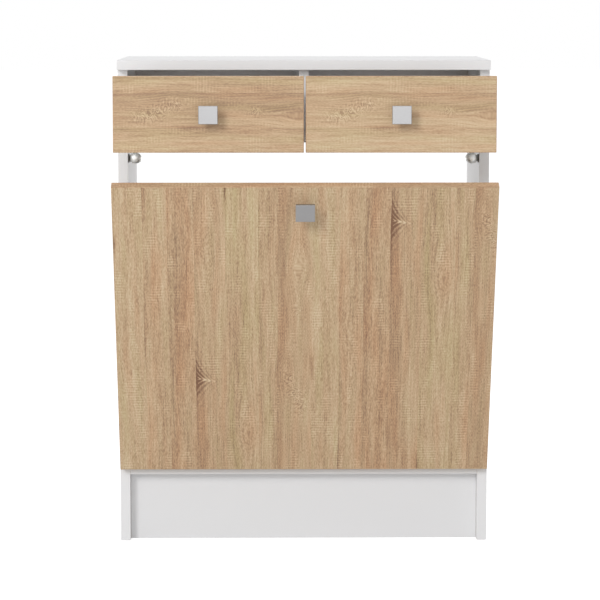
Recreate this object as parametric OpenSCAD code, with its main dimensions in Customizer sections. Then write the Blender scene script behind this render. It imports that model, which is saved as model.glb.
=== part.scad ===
// Low bathroom cabinet with two drawers over a tilt-out laundry bin.
// Millimetres. X runs to the right, Y to the back and Z up. The origin lies on the
// floor, under the middle of the plinth board. The drawers are drawn pulled out and
// the bin is drawn tipped open, resting on its stops.

/* [Case] */
// Outer width of the case
case_w = 600; // [520:5:760]
// Height from the floor to the top face
case_h = 786; // [700:1:860]
// How much deeper the case is than its drawer boxes are long
rear_space = 30; // [26:1:90]
// Thickness of the coated chipboard of the case
board_t = 16; // [15:1:19]
// How far the top panel reaches out over the fronts
top_overhang = 20; // [18:1:30]
// Height of the plinth board
plinth_h = 110; // [80:1:130]
// How far the plinth stands back from the front edges
plinth_setback = 20; // [10:1:40]
// Height of the lower rear rail
lower_rail_h = 100; // [60:1:140]

/* [Fronts] */
// Thickness of the oak decor fronts
front_t = 16; // [15:1:19]
// Gap between neighbouring fronts
front_gap = 3; // [2:0.5:4]
// How far the fronts stay inside the outer faces of the case
side_reveal = 1; // [0.5:0.5:2]
// Gap between the top panel and the drawer fronts
top_gap = 6; // [2:0.5:10]
// Gap between the closed fronts and the front edges of the case
buffer_gap = 2; // [1.5:0.5:3]
// Height of a drawer front
drawer_front_h = 119; // [116:1:140]

/* [Drawers] */
// How far the drawers stand out of the case
drawer_pull = 134; // [0:1:190]
// Length of a drawer box and of its runners
drawer_len = 250; // [220:5:400]
// Height of the drawer sides
drawer_side_h = 90; // [70:1:96]
// Thickness of the drawer sides and of the drawer back
drawer_side_t = 12; // [12:1:15]
// Thickness of the hardboard drawer bottom
drawer_bottom_t = 3; // [2.5:0.5:4]
// Height of a drawer box's lower edge over the lower edge of its front
drawer_lift = 12; // [10:1:16]
// Height of the drawer bottom over the lower edge of the drawer sides
drawer_bottom_up = 9; // [9:1:14]
// Depth of the grooves that hold the thin boards
groove_depth = 5; // [3:0.5:6]

/* [Runners] */
// Space for a runner between a drawer side and the case
runner_space = 12.5; // [12.5:0.5:14]
// Thickness of the runners' sheet steel
runner_steel = 1.2; // [1:0.1:1.5]
// Diameter of a nylon roller
roller_d = 17; // [15:0.5:18]
// Width of a nylon roller
roller_w = 7; // [5:0.5:7.5]
// Diameter of the rivets that the rollers turn on
rivet_d = 5; // [4:0.5:6]

/* [Tilt-out bin] */
// Angle at which the bin rests on its stops
door_open = 22.5; // [10:0.5:24]
// Gap between the closed bin and the lower rear rail
bin_rear_gap = 21; // [10:1:60]
// How far the wings' top edge stays below the door's top edge
bin_wing_drop = 95; // [60:1:140]
// How far the bin's back ends below the wings' rear corner
bin_back_drop = 46; // [20:1:90]
// Thickness of the wings and of the bin floor
wing_t = 12; // [12:1:15]
// Gap between a wing and the side panel
wing_gap = 4; // [3:0.5:6]
// Thickness of the bin's hardboard back
bin_back_t = 4; // [3:0.5:5]
// Diameter of the stop studs
stop_d = 10; // [8:1:12]

/* [Handles and catches] */
// Width of a handle plate
handle_w = 30; // [20:0.5:40]
// Height of a handle plate
handle_h = 28.5; // [20:0.5:40]
// Thickness of a handle plate
handle_t = 5.5; // [4:0.5:8]
// How far a handle stands out from its front
handle_reach = 24; // [18:1:32]
// Diameter of a handle's stem
stem_d = 9; // [8:0.5:14]
// Distance from the door's top edge down to its handle
handle_drop = 34; // [24:1:60]
// Diameter of the catch balls
ball_d = 18; // [14:0.5:20]
// Distance from the door's top edge down to the catch balls
ball_drop = 15; // [14:1:30]

/* [Hinges] */
// Length of a hinge
hinge_len = 60; // [40:1:80]
// Distance from the centre line to the middle of a hinge
hinge_x = 180; // [100:1:220]
// Diameter of the hinge pins
hinge_pin_d = 3; // [2.5:0.5:3.5]
// Outer diameter of the hinge knuckles
knuckle_d = 5.5; // [5.5:0.5:7]
// Width of a hinge leaf
leaf_w = 24; // [20:1:26]
// Thickness of a hinge leaf
leaf_t = 1.2; // [1:0.1:1.5]

/* [Hidden] */
$fn = 48;

// Clearances. A board, pin or screw sits in its hole or groove with fit_gap all
// round, a shaft runs with running_gap, and pieces that pass each other keep pass_gap.
fit_gap = 0.1;
running_gap = 0.05;
pass_gap = 0.3;

// Colours of the finishes
WHITE = "white";
OAK = "burlywood";
NICKEL = "silver";
ZINC = "lightsteelblue";
NYLON = "whitesmoke";
BEECH = "navajowhite";
HARDBOARD = "gainsboro";
DARK = "dimgray";
CHROME = "lightgray";

// Planes of the case
side_depth = drawer_len + rear_space;
front_y = -(plinth_setback + board_t / 2);
rear_y = front_y + side_depth;
wall_x = case_w / 2 - board_t;
floor_z = plinth_h + board_t;
roof_z = case_h - board_t;
rail_y = rear_y - board_t;

// Planes of the closed fronts
door_under = 2;
fronts_w = case_w - 2 * side_reveal;
fronts_y = front_y - buffer_gap;
drawer_front_w = (fronts_w - front_gap) / 2;
drawer_front_z = roof_z - top_gap - drawer_front_h;
door_z = floor_z + door_under;
door_h = drawer_front_z - front_gap - door_z;
door_top = door_z + door_h;

// The divider and the rail behind the drawers end a little over the drawer fronts' edge
divider_up = 8;
divider_z = drawer_front_z + divider_up;
divider_h = roof_z - divider_z;
divider_depth = rail_y - front_y;

// Width of the space for one drawer, and the box that fits it
bay_w = wall_x - board_t / 2;
bay_x = (wall_x + board_t / 2) / 2;
box_w = bay_w - 2 * runner_space;
box_z = drawer_front_z + drawer_lift;
box_bottom_z = box_z + drawer_bottom_up;
box_inner_w = box_w - 2 * drawer_side_t;

// The runners. Heights are counted from channel_z, where the rear rollers run.
runner_up = 1;
roller_play = 1;
flange_gap = 0.8;
flange_clear = 3;
runner_setback = 2;
runner_in = 1;
front_axle_in = 12;
channel_spare = 2;
web_round = 5;
channel_z = box_z + runner_up;
channel_h = roller_d + roller_play;
flange_z = channel_h + runner_steel + flange_gap;
rear_axle_z = pass_gap + roller_d / 2;
front_axle_z = flange_z - pass_gap - roller_d / 2;
runner_y = front_y + runner_setback;
front_axle_y = runner_y + front_axle_in;
rear_axle_y = fronts_y + drawer_len - roller_d / 2;
channel_len = rear_axle_y + roller_d / 2 + runner_steel + channel_spare - runner_y;
flange_w = runner_space - flange_clear;
rivet_head_t = 0.8;
rivet_head_d = rivet_d + 3;
web_gap = 0.4;
runner_screw_in = [38, 52];
runner_screw_y = [runner_screw_in[0], drawer_len - runner_screw_in[1]];

// Screws and pins
screw_d = 3.5;
screw_head_d = 6.4;
thin_head_t = 0.9;
case_screw_len = 12;
divider_screw_len = board_t / 2 - 1;
spigot_len = 10;
drawer_screw_len = 7.5;
drawer_screw_in = [40, 60];
drawer_screw_y = [drawer_screw_in[0], drawer_len - drawer_screw_in[1]];
handle_screw_d = 4;
handle_screw_head = [8, 2.6];
handle_screw_grip = 8;
dowel_d = 8;
dowel_len = 30;
dowel_in = 11;
small_dowel_d = 6;
small_dowel_len = 24;
small_dowel_in = 9;
front_dowel_z = [box_z + drawer_side_h * 0.4, box_z + drawer_side_h * 0.8];
cam_d = 15;
cam_h = 12;
cam_back = 24;
cam_bolt_d = 6;
cam_bolt_in = 11;
cam_inset = 42;

// The hinge line stands clear of the floor panel and of the door's rear face
knuckle_r = knuckle_d / 2;
knuckle_gap = 0.4;
knuckle_len = (hinge_len - 2 * knuckle_gap) / 3;
hinge_screw_x = [hinge_x - hinge_len * 0.3, hinge_x + hinge_len * 0.3];
leaf_edge = 7;
leaf_gap = 0.6;
hinge_y = fronts_y + knuckle_r + pass_gap;
hinge_z = floor_z + knuckle_r + pass_gap;

// The bin, in closed coordinates from the hinge line: d to the back, h upwards
bin_front_d = fronts_y - hinge_y;
bin_rear_d = rail_y - bin_rear_gap - hinge_y;
bin_depth = bin_rear_d - bin_front_d;
bin_arc_r = door_top - hinge_z - bin_wing_drop;
bin_foot_h = 5;
bin_floor_h = leaf_w + 6;
bin_back_top = sqrt(pow(bin_arc_r, 2) - pow(bin_rear_d, 2)) - bin_back_drop;
wing_x = wall_x - wing_gap - wing_t;
groove_inset = 4;
bin_back_d = bin_rear_d - groove_inset - bin_back_t;
nib_w = 16;
nib_h = 12;
nib_root = 30;
bracket_arm = 20;
bracket_w = 18;
bracket_t = 1.5;
bracket_edge = 6;
bracket_in = [68, 80];
bracket_h = [bin_floor_h + wing_t + bracket_in[0], bin_arc_r - bracket_in[1]];
wing_screw_len = 9;
door_screw_len = 11;
bin_dowel_d = [bin_depth * 0.2, bin_depth * 0.75];
door_low_h = door_z - hinge_z;
door_handle_h = door_top - handle_drop - hinge_z;

// The stop studs touch the nibs of the wings when the bin is open
stop_clear = 0.8;
stop_spigot_d = stop_d - 2;
stop_r = bin_arc_r + stop_clear + stop_d / 2;
nib_angle = asin((bin_rear_d - nib_w) / bin_arc_r);
stop_angle = nib_angle - door_open - asin((stop_d / 2 + pass_gap) / stop_r);
stop_y = hinge_y + stop_r * sin(stop_angle);
stop_z = hinge_z + stop_r * cos(stop_angle);

// The catch balls stand on the side panels, behind the closed door
ball_off = 10.5;
ball_x = wall_x - ball_off;
ball_setback = 4;
ball_y = front_y + ball_d / 2 + ball_setback;
ball_z = door_top - ball_drop;
base_d = 14;
base_t = 2.5;
button_d = 14;
button_neck_d = 11;
button_foot_t = 1.5;
button_sink = 1.2;
button_len = ball_y - ball_d / 2 - pass_gap - fronts_y;
button_h = ball_z - hinge_z;

// Places of the case's cams and dowels
cam_y = [front_y + cam_inset, rear_y - cam_inset];
dowel_mid_y = (front_y + rear_y) / 2;
rail_mid_y = rail_y + board_t / 2;
floor_mid_z = floor_z - board_t / 2;
rail_dowel_z = [
    floor_z + lower_rail_h * 0.25, floor_z + lower_rail_h * 0.75,
    divider_z + divider_h * 0.25, divider_z + divider_h * 0.75
];
plinth_dowel_z = [plinth_h * 0.25, plinth_h * 0.75];
divider_dowel_inset = 60;
divider_dowel_y = [front_y + divider_dowel_inset, rail_y - divider_dowel_inset];

// Screws behind the door: place across, height over the hinge line, and the thickness
// of the plate, leaf or button under the head
door_screw_at = [
    for (h = bracket_h) [wing_x - bracket_arm + bracket_edge, h, bracket_t],
    for (x = hinge_screw_x) [x, leaf_w - leaf_edge, leaf_t],
    [ball_x, button_h, button_len - button_sink]
];

// Left end of a hinge's knuckle
function knuckle_x(i) = hinge_x - hinge_len / 2 + i * (knuckle_len + knuckle_gap);

// Helpers: a cylinder along X or Y that starts at a point
module rod_x(at, d, len) {
    translate(at) rotate([0, 90, 0]) cylinder(d = d, h = len);
}

module rod_y(at, d, len) {
    translate(at) rotate([-90, 0, 0]) cylinder(d = d, h = len);
}

module rod_z(at, d, len) {
    translate(at) cylinder(d = d, h = len);
}

// A profile drawn in Y and Z and extruded along X
module along_x(x, len) {
    translate([x, 0, 0]) rotate([90, 0, 90]) linear_extrude(height = len) children();
}

module handed(hand) {
    if (hand > 0) children();
    else mirror([1, 0, 0]) children();
}

module at_both_sides() {
    children();
    mirror([1, 0, 0]) children();
}

// Motion: the drawers stand out and the bin is tipped about its hinge line
module pulled() {
    translate([0, -drawer_pull, 0]) children();
}

module tipped() {
    translate([0, hinge_y, hinge_z]) rotate([door_open, 0, 0]) children();
}

// A pan head screw, its head's seat at the origin and its shank along +Z
module screw(len, head_t = thin_head_t) {
    cylinder(d = screw_d, h = len);
    translate([0, 0, -head_t]) cylinder(d = screw_head_d, h = head_t);
}

// Case boards

// Holes in a side panel, cut from its inner face: cams, dowels, runners and studs
module side_holes() {
    inner = wall_x - fit_gap;
    for (y = cam_y)
        rod_x([inner, y, floor_mid_z], cam_bolt_d + 2 * fit_gap, cam_bolt_in + 2 * fit_gap);
    rod_x([inner, dowel_mid_y, floor_mid_z], dowel_d + 2 * fit_gap, dowel_in + 2 * fit_gap);
    for (z = rail_dowel_z)
        rod_x([inner, rail_mid_y, z], dowel_d + 2 * fit_gap, dowel_in + 2 * fit_gap);
    for (z = plinth_dowel_z)
        rod_x([inner, 0, z], dowel_d + 2 * fit_gap, dowel_in + 2 * fit_gap);
    for (y = runner_screw_y)
        rod_x([inner, runner_y + y, channel_z + channel_h / 2], screw_d + 2 * fit_gap,
              case_screw_len);
    rod_x([inner, ball_y, ball_z], screw_d + 2 * fit_gap, spigot_len + 2 * fit_gap);
    rod_x([inner, stop_y, stop_z], stop_spigot_d + 2 * fit_gap, spigot_len + 2 * fit_gap);
    // Dowels of the top panel stand in the upper edge
    for (y = concat(cam_y, [dowel_mid_y]))
        rod_z([wall_x + board_t / 2, y, roof_z - dowel_len + dowel_in - fit_gap],
              dowel_d + 2 * fit_gap, dowel_len);
}

module side_panel_right() {
    color(WHITE) difference() {
        translate([wall_x, front_y, 0]) cube([board_t, side_depth, roof_z]);
        side_holes();
    }
}

module side_panel_left() {
    mirror([1, 0, 0]) side_panel_right();
}

// Bores for the cams in the underside of a panel, and for the bolts in its ends
module cam_bores(z_under) {
    at_both_sides() for (y = cam_y) {
        rod_z([wall_x - cam_back, y, z_under - 1], cam_d + 2 * fit_gap, cam_h + 1 + fit_gap);
        rod_x([wall_x - cam_back, y, z_under + board_t / 2], cam_bolt_d + 2 * fit_gap,
              cam_back + board_t);
    }
    at_both_sides()
        rod_x([wall_x - dowel_len + dowel_in - fit_gap, dowel_mid_y, z_under + board_t / 2],
              dowel_d + 2 * fit_gap, dowel_len);
}

// The top lies on the side panels and the divider, with dowels in their upper edges
module top_panel() {
    color(WHITE) difference() {
        translate([-case_w / 2, front_y - top_overhang, roof_z])
            cube([case_w, side_depth + top_overhang, board_t]);
        for (x = [-1, 1], y = concat(cam_y, [dowel_mid_y]))
            rod_z([x * (wall_x + board_t / 2), y, roof_z - 1], dowel_d + 2 * fit_gap,
                  1 + dowel_in + fit_gap);
        for (y = divider_dowel_y)
            rod_z([0, y, roof_z - 1], dowel_d + 2 * fit_gap, 1 + dowel_in + fit_gap);
    }
}

module bottom_panel() {
    color(WHITE) difference() {
        translate([-wall_x, front_y, plinth_h]) cube([2 * wall_x, side_depth, board_t]);
        cam_bores(plinth_h);
        hinge_screw_holes_case();
    }
}

module plinth_board() {
    color(WHITE) difference() {
        translate([-wall_x, -board_t / 2, 0]) cube([2 * wall_x, board_t, plinth_h]);
        at_both_sides() for (z = plinth_dowel_z)
            rod_x([wall_x - dowel_len + dowel_in - fit_gap, 0, z], dowel_d + 2 * fit_gap, dowel_len);
    }
}

module rear_rail(z, h, dowels) {
    difference() {
        translate([-wall_x, rail_y, z]) cube([2 * wall_x, board_t, h]);
        at_both_sides() for (dz = dowels)
            rod_x([wall_x - dowel_len + dowel_in - fit_gap, rail_mid_y, dz],
                  dowel_d + 2 * fit_gap, dowel_len);
    }
}

module rear_rail_lower() {
    color(WHITE) rear_rail(floor_z, lower_rail_h, [rail_dowel_z[0], rail_dowel_z[1]]);
}

module rear_rail_upper() {
    color(WHITE) difference() {
        rear_rail(divider_z, divider_h, [rail_dowel_z[2], rail_dowel_z[3]]);
        for (z = [rail_dowel_z[2], rail_dowel_z[3]])
            rod_y([0, rail_y - fit_gap, z], dowel_d + 2 * fit_gap, dowel_in + 2 * fit_gap);
    }
}

module divider_panel() {
    color(WHITE) difference() {
        translate([-board_t / 2, front_y, divider_z]) cube([board_t, divider_depth, divider_h]);
        for (y = divider_dowel_y)
            rod_z([0, y, roof_z - dowel_len + dowel_in - fit_gap], dowel_d + 2 * fit_gap,
                  dowel_len);
        for (z = [rail_dowel_z[2], rail_dowel_z[3]])
            rod_y([0, rail_y - dowel_len + dowel_in - fit_gap, z], dowel_d + 2 * fit_gap,
                  dowel_len);
        at_both_sides() for (y = runner_screw_y)
            rod_x([board_t / 2 - divider_screw_len, runner_y + y, channel_z + channel_h / 2],
                  screw_d + 2 * fit_gap, divider_screw_len + 1);
    }
}

// Case fittings

// A cross slot for a driver, sunk upwards from z = 0
module cross_slot(len, w, depth) {
    for (a = [0, 90]) rotate(a) translate([-len / 2, -w / 2, -1]) cube([len, w, depth + 1]);
}

// A cam disc with its driver slot below and the pocket that takes the bolt's head
module cam_disc() {
    difference() {
        cylinder(d = cam_d, h = cam_h);
        translate([0, 0, board_t / 2]) rotate([0, 90, 0])
            cylinder(d = cam_bolt_d + 1, h = cam_d);
        cross_slot(8, 1.2, 1.5);
    }
}

module cam_discs() {
    color(ZINC) at_both_sides() for (y = cam_y)
        translate([wall_x - cam_back, y, plinth_h]) cam_disc();
}

module cam_bolts() {
    color(ZINC) at_both_sides() for (y = cam_y)
        rod_x([wall_x - cam_back + 2, y, plinth_h + board_t / 2], cam_bolt_d,
              cam_back - 2 + cam_bolt_in);
}

module case_dowels() {
    color(BEECH) {
        at_both_sides() {
            rod_x([wall_x - dowel_len + dowel_in, dowel_mid_y, floor_mid_z], dowel_d, dowel_len);
            for (z = rail_dowel_z)
                rod_x([wall_x - dowel_len + dowel_in, rail_mid_y, z], dowel_d, dowel_len);
            for (z = plinth_dowel_z)
                rod_x([wall_x - dowel_len + dowel_in, 0, z], dowel_d, dowel_len);
            for (y = concat(cam_y, [dowel_mid_y]))
                rod_z([wall_x + board_t / 2, y, roof_z - dowel_len + dowel_in], dowel_d, dowel_len);
        }
        for (y = divider_dowel_y)
            rod_z([0, y, roof_z - dowel_len + dowel_in], dowel_d, dowel_len);
        for (z = [rail_dowel_z[2], rail_dowel_z[3]])
            rod_y([0, rail_y - dowel_len + dowel_in, z], dowel_d, dowel_len);
    }
}

module case_screws() {
    color(ZINC) {
        at_both_sides() {
            for (y = runner_screw_y) {
                translate([wall_x - runner_steel, runner_y + y, channel_z + channel_h / 2])
                    rotate([0, 90, 0]) screw(case_screw_len);
                translate([board_t / 2 + runner_steel, runner_y + y, channel_z + channel_h / 2])
                    rotate([0, -90, 0]) screw(runner_steel + divider_screw_len - fit_gap);
            }
            for (x = hinge_screw_x)
                translate([x, hinge_y + leaf_w - leaf_edge, floor_z + leaf_t])
                    mirror([0, 0, 1]) screw(case_screw_len);
        }
    }
}

// Runners

// Places of a bay's two runners: mirrored so that +X points from the wall to the drawer
module on_bay_wall(side) {
    if (side == 1) translate([-wall_x, 0, 0]) children();
    if (side == 2) translate([-board_t / 2, 0, 0]) mirror([1, 0, 0]) children();
    if (side == 3) translate([board_t / 2, 0, 0]) children();
    if (side == 4) translate([wall_x, 0, 0]) mirror([1, 0, 0]) children();
}

// The case's half of a runner: a channel for the rear roller, open at the top in
// front, where its own roller stands up and carries the drawer's flange
module case_runner(side) {
    cut_y = front_axle_y + roller_d / 2 + channel_spare;
    color(ZINC) on_bay_wall(side) translate([0, 0, channel_z]) difference() {
        union() {
            translate([0, runner_y, -runner_steel])
                cube([runner_steel, channel_len, channel_h + 2 * runner_steel]);
            translate([0, runner_y, -runner_steel]) cube([flange_w, channel_len, runner_steel]);
            translate([0, cut_y, channel_h])
                cube([flange_w, channel_len - (cut_y - runner_y), runner_steel]);
            // The rear end is turned up as a stop
            translate([0, runner_y + channel_len - runner_steel, -runner_steel])
                cube([flange_w, runner_steel, channel_h / 2]);
            // The rivet that the front roller turns on
            rod_x([0, front_axle_y, front_axle_z], rivet_d, runner_steel + web_gap + roller_w
                  + pass_gap + rivet_head_t);
            rod_x([runner_steel + web_gap + roller_w + pass_gap, front_axle_y, front_axle_z],
                  rivet_head_d, rivet_head_t);
        }
        for (y = runner_screw_y)
            rod_x([-1, runner_y + y, channel_h / 2], screw_d + 2 * fit_gap, runner_steel + 2);
        // The front end of the web is rounded off
        difference() {
            translate([-1, runner_y - 1, channel_h + runner_steel - web_round])
                cube([runner_steel + 2, web_round + 1, web_round + 1]);
            rod_x([-2, runner_y + web_round, channel_h + runner_steel - web_round],
                  2 * web_round, runner_steel + 4);
        }
    }
}

// The drawer's half: it wraps the lower edge of the drawer side, and its upper flange
// rides on the front roller, while its own roller at the rear runs in the channel
module drawer_runner(side) {
    web_x = runner_space - runner_steel;
    wrap_z = box_z - channel_z - runner_steel;
    len = drawer_len - runner_in;
    axle_y = rear_axle_y - fronts_y - runner_in;
    rivet_x = web_x - web_gap - roller_w - pass_gap - rivet_head_t;
    color(ZINC) pulled() on_bay_wall(side)
    translate([0, fronts_y + runner_in, channel_z]) difference() {
        union() {
            translate([web_x, 0, wrap_z])
                cube([runner_steel, len, flange_z + runner_steel - wrap_z]);
            translate([web_x, 0, wrap_z])
                cube([runner_steel + drawer_side_t - 1, len, runner_steel]);
            translate([flange_clear, 0, flange_z])
                cube([runner_space - flange_clear, len, runner_steel]);
            // The rivet that the rear roller turns on
            rod_x([rivet_x, axle_y, rear_axle_z], rivet_d, runner_space - rivet_x);
            rod_x([rivet_x, axle_y, rear_axle_z], rivet_head_d, rivet_head_t);
        }
        for (y = drawer_screw_y)
            rod_z([runner_space + drawer_side_t / 2, y - runner_in, wrap_z - 1],
                  screw_d + 2 * fit_gap, runner_steel + 2);
    }
}

// A nylon roller: a rim with eased edges and a hollow face round its hub
module roller() {
    ease = 0.6;
    rim = 2;
    hollow = 1.2;
    difference() {
        union() {
            translate([0, 0, ease]) cylinder(d = roller_d, h = roller_w - 2 * ease);
            cylinder(d1 = roller_d - 2 * ease, d2 = roller_d, h = ease);
            translate([0, 0, roller_w - ease])
                cylinder(d1 = roller_d, d2 = roller_d - 2 * ease, h = ease);
        }
        translate([0, 0, -1]) cylinder(d = rivet_d + 2 * running_gap, h = roller_w + 2);
        for (z = [-1, roller_w - hollow]) translate([0, 0, z]) difference() {
            cylinder(d = roller_d - 2 * rim, h = hollow + 1);
            translate([0, 0, -1]) cylinder(d = rivet_head_d, h = hollow + 3);
        }
    }
}

module front_rollers(sides) {
    color(NYLON) for (side = sides) on_bay_wall(side)
        translate([runner_steel + web_gap, front_axle_y, channel_z + front_axle_z])
            rotate([0, 90, 0]) roller();
}

module rear_rollers(sides) {
    color(NYLON) pulled() for (side = sides) on_bay_wall(side)
        translate([runner_space - runner_steel - web_gap - roller_w, rear_axle_y,
                   channel_z + rear_axle_z])
            rotate([0, 90, 0]) roller();
}

// Drawers. They are drawn for the right bay; bay is -1 on the left and 1 on the right,
// and hand is 1 on a drawer's outer side and -1 beside the divider.
module in_bay(bay) {
    pulled() translate([bay * bay_x, 0, 0]) children();
}

module drawer_front(bay) {
    x_mid = bay * (drawer_front_w + front_gap) / 2;
    color(OAK) pulled() difference() {
        translate([x_mid - drawer_front_w / 2, fronts_y - front_t, drawer_front_z])
            cube([drawer_front_w, front_t, drawer_front_h]);
        translate([bay * bay_x, 0, 0]) {
            translate([-box_inner_w / 2 - groove_depth - fit_gap, fronts_y - groove_depth - fit_gap,
                       box_bottom_z - fit_gap])
                cube([box_inner_w + 2 * groove_depth + 2 * fit_gap, groove_depth + 1,
                      drawer_bottom_t + 2 * fit_gap]);
            at_both_sides() for (z = front_dowel_z)
                rod_y([box_w / 2 - drawer_side_t / 2, fronts_y - small_dowel_in - fit_gap, z],
                      small_dowel_d + 2 * fit_gap, small_dowel_in + 1);
        }
        rod_y([x_mid, fronts_y - front_t - 1, drawer_front_z + drawer_front_h / 2],
              handle_screw_d + 0.5, front_t + 2);
    }
}

module drawer_side(bay, hand) {
    color(WHITE) in_bay(bay) handed(hand) difference() {
        translate([box_w / 2 - drawer_side_t, fronts_y, box_z])
            cube([drawer_side_t, drawer_len, drawer_side_h]);
        translate([box_inner_w / 2 - 1, fronts_y - 1, box_bottom_z - fit_gap])
            cube([groove_depth + 1 + fit_gap, drawer_len + 2, drawer_bottom_t + 2 * fit_gap]);
        for (z = front_dowel_z) {
            rod_y([box_w / 2 - drawer_side_t / 2, fronts_y - 1, z], small_dowel_d + 2 * fit_gap,
                  small_dowel_len - small_dowel_in + 1 + fit_gap);
            rod_x([box_inner_w / 2 - 1, fronts_y + drawer_len - drawer_side_t / 2, z],
                  small_dowel_d + 2 * fit_gap, 1 + small_dowel_in + fit_gap);
        }
        for (y = drawer_screw_y)
            rod_z([box_w / 2 - drawer_side_t / 2, fronts_y + y, box_z - 1],
                  screw_d + 2 * fit_gap, 1 + drawer_screw_len - runner_steel + fit_gap);
    }
}

module drawer_back(bay) {
    back_z = box_bottom_z + drawer_bottom_t + fit_gap;
    color(WHITE) in_bay(bay) difference() {
        translate([-box_inner_w / 2, fronts_y + drawer_len - drawer_side_t, back_z])
            cube([box_inner_w, drawer_side_t, box_z + drawer_side_h - back_z]);
        at_both_sides() for (z = front_dowel_z)
            rod_x([box_inner_w / 2 - small_dowel_len + small_dowel_in - fit_gap,
                   fronts_y + drawer_len - drawer_side_t / 2, z],
                  small_dowel_d + 2 * fit_gap, small_dowel_len);
    }
}

module drawer_bottom(bay) {
    color(HARDBOARD) in_bay(bay)
        translate([-box_inner_w / 2 - groove_depth, fronts_y - groove_depth, box_bottom_z])
            cube([box_inner_w + 2 * groove_depth, drawer_len + groove_depth, drawer_bottom_t]);
}

module drawer_dowels(bay) {
    color(BEECH) in_bay(bay) at_both_sides() for (z = front_dowel_z) {
        rod_y([box_w / 2 - drawer_side_t / 2, fronts_y - small_dowel_in, z], small_dowel_d,
              small_dowel_len);
        rod_x([box_inner_w / 2 - small_dowel_len + small_dowel_in,
               fronts_y + drawer_len - drawer_side_t / 2, z], small_dowel_d, small_dowel_len);
    }
}

module drawer_screws(bay) {
    color(ZINC) in_bay(bay) at_both_sides() for (y = drawer_screw_y)
        translate([box_w / 2 - drawer_side_t / 2, fronts_y + y, box_z - runner_steel])
            screw(drawer_screw_len);
}

// Handles: a square plate with eased edges on a round stem with a wider foot, made
// with the foot's seat at the origin and the plate towards -Y
module handle() {
    ease = 0.7;
    difference() {
        union() {
            hull() {
                translate([-handle_w / 2 + ease, -handle_reach, -handle_h / 2 + ease])
                    cube([handle_w - 2 * ease, handle_t, handle_h - 2 * ease]);
                translate([-handle_w / 2, -handle_reach + ease, -handle_h / 2])
                    cube([handle_w, handle_t - 2 * ease, handle_h]);
            }
            rod_y([0, -handle_reach + handle_t / 2, 0], stem_d, handle_reach - handle_t / 2);
        }
        rod_y([0, -handle_screw_grip - 2, 0], handle_screw_d + 2 * fit_gap,
              handle_screw_grip + 3);
    }
}

// The machine screw behind a handle, with its head's seat at the origin
module handle_screw() {
    rod_y([0, -front_t - handle_screw_grip, 0], handle_screw_d, front_t + handle_screw_grip);
    difference() {
        rod_y([0, 0, 0], handle_screw_head[0], handle_screw_head[1]);
        translate([0, handle_screw_head[1], 0]) rotate([90, 0, 0]) cross_slot(5, 1, 1);
    }
}

module drawer_handle(bay) {
    color(NICKEL) pulled()
        translate([bay * (drawer_front_w + front_gap) / 2, fronts_y - front_t,
                   drawer_front_z + drawer_front_h / 2]) handle();
}

module drawer_handle_screw(bay) {
    color(ZINC) pulled()
        translate([bay * (drawer_front_w + front_gap) / 2, fronts_y,
                   drawer_front_z + drawer_front_h / 2]) handle_screw();
}

// Tilt-out door and its bin, drawn closed from the hinge line and then tipped

module tilt_door() {
    color(OAK) tipped() difference() {
        translate([-fronts_w / 2, bin_front_d - front_t, door_low_h])
            cube([fronts_w, front_t, door_h]);
        rod_y([0, bin_front_d - front_t - 1, door_handle_h], handle_screw_d + 0.5, front_t + 2);
        at_both_sides() for (place = door_screw_at) door_screw_place(place[0], place[1])
            rod_z([0, 0, -1], screw_d + 2 * fit_gap, 1 + door_screw_len - place[2] + fit_gap);
    }
}

module tilt_door_handle() {
    color(NICKEL) tipped() translate([0, bin_front_d - front_t, door_handle_h]) handle();
}

module door_handle_screw() {
    color(ZINC) tipped() translate([0, bin_front_d, door_handle_h]) handle_screw();
}

// Outline of a wing: its top edge is an arc about the hinge line, and the nib at its
// rear end meets the stop stud when the bin is open
module wing_outline() {
    intersection() {
        circle(r = bin_arc_r, $fn = 240);
        translate([bin_front_d, bin_foot_h]) square([bin_depth, bin_arc_r]);
    }
    intersection() {
        circle(r = bin_arc_r + nib_h, $fn = 240);
        rotate(-nib_angle) translate([0, bin_arc_r - nib_root])
            square([nib_w * 2, nib_h + 2 * nib_root]);
        translate([bin_front_d, bin_foot_h]) square([bin_depth, bin_arc_r + nib_h]);
    }
}

module bin_wing(hand) {
    color(WHITE) tipped() handed(hand) difference() {
        along_x(wing_x, wing_t) wing_outline();
        translate([wing_x - 1, bin_back_d - fit_gap, bin_floor_h - fit_gap])
            cube([1 + groove_inset + fit_gap, bin_back_t + 2 * fit_gap, bin_arc_r + nib_h]);
        for (d = bin_dowel_d)
            rod_x([wing_x - 1, d, bin_floor_h + wing_t / 2], small_dowel_d + 2 * fit_gap,
                  1 + small_dowel_in + fit_gap);
        wing_screw_places() rod_z([0, 0, -1], screw_d + 2 * fit_gap,
                                  1 + wing_screw_len - bracket_t + fit_gap);
    }
}

module bin_floor() {
    color(WHITE) tipped() difference() {
        translate([-wing_x, bin_front_d, bin_floor_h])
            cube([2 * wing_x, bin_back_d - bin_front_d - fit_gap, wing_t]);
        at_both_sides() for (d = bin_dowel_d)
            rod_x([wing_x - small_dowel_len + small_dowel_in - fit_gap, d,
                   bin_floor_h + wing_t / 2], small_dowel_d + 2 * fit_gap, small_dowel_len);
    }
}

module bin_back() {
    color(HARDBOARD) tipped()
        translate([-wing_x - groove_inset, bin_back_d, bin_floor_h])
            cube([2 * (wing_x + groove_inset), bin_back_t, bin_back_top - bin_floor_h]);
}

module bin_dowels() {
    color(BEECH) tipped() at_both_sides() for (d = bin_dowel_d)
        rod_x([wing_x - small_dowel_len + small_dowel_in, d, bin_floor_h + wing_t / 2],
              small_dowel_d, small_dowel_len);
}

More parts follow.
